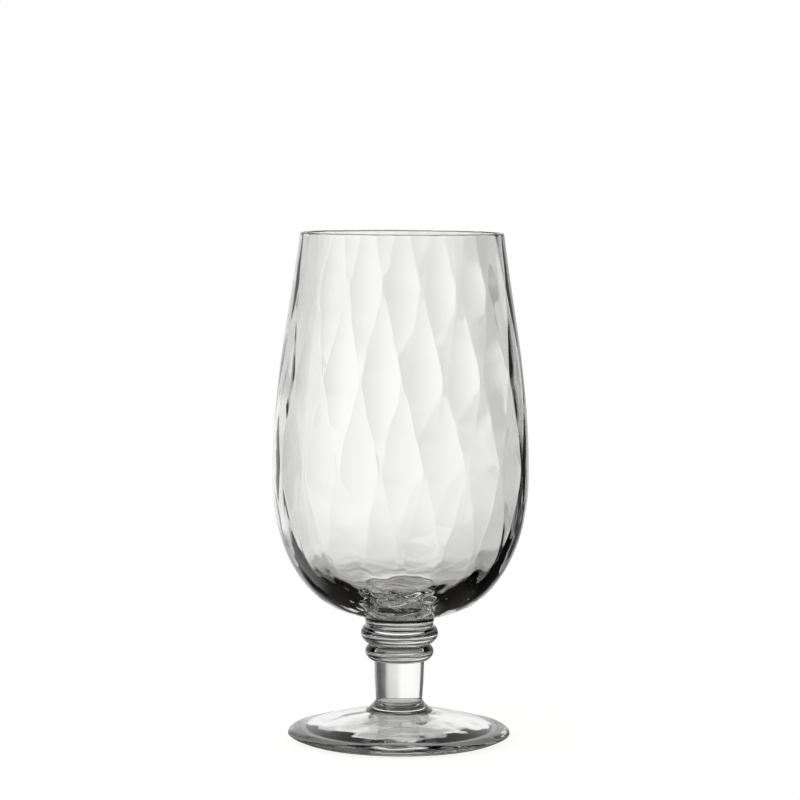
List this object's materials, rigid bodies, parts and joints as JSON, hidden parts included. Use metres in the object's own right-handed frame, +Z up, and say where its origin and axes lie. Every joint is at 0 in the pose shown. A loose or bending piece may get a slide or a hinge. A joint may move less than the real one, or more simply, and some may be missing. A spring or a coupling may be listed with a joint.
{
  "type": "footed drinking glass",
  "caption": "Footed drinking glass: tall clear bowl with a diamond optic on its inner wall, on a short ringed stem and a round foot.",
  "frame": {"origin": "centre of the ring that the foot rests on", "axes": "+Z up along the glass's turning axis, towards the mouth; -Y is the side that the picture shows"},
  "size_m": [0.0882, 0.0882, 0.175],
  "materials": {
    "bowl_glass": "clear fire-polished glass, smooth outside, diamond optic inside",
    "stem_glass": "clear solid glass, hand-tooled rings",
    "foot_glass": "clear solid glass, slightly wavy surface"
  },
  "bodies": {
    "root": {"bowl": "bowl_glass", "bowl_collar": "stem_glass", "upper_knop": "stem_glass", "lower_knop": "stem_glass", "stem_shaft": "stem_glass", "foot_collar": "stem_glass", "foot": "foot_glass"}
  },
  "joints": []
}
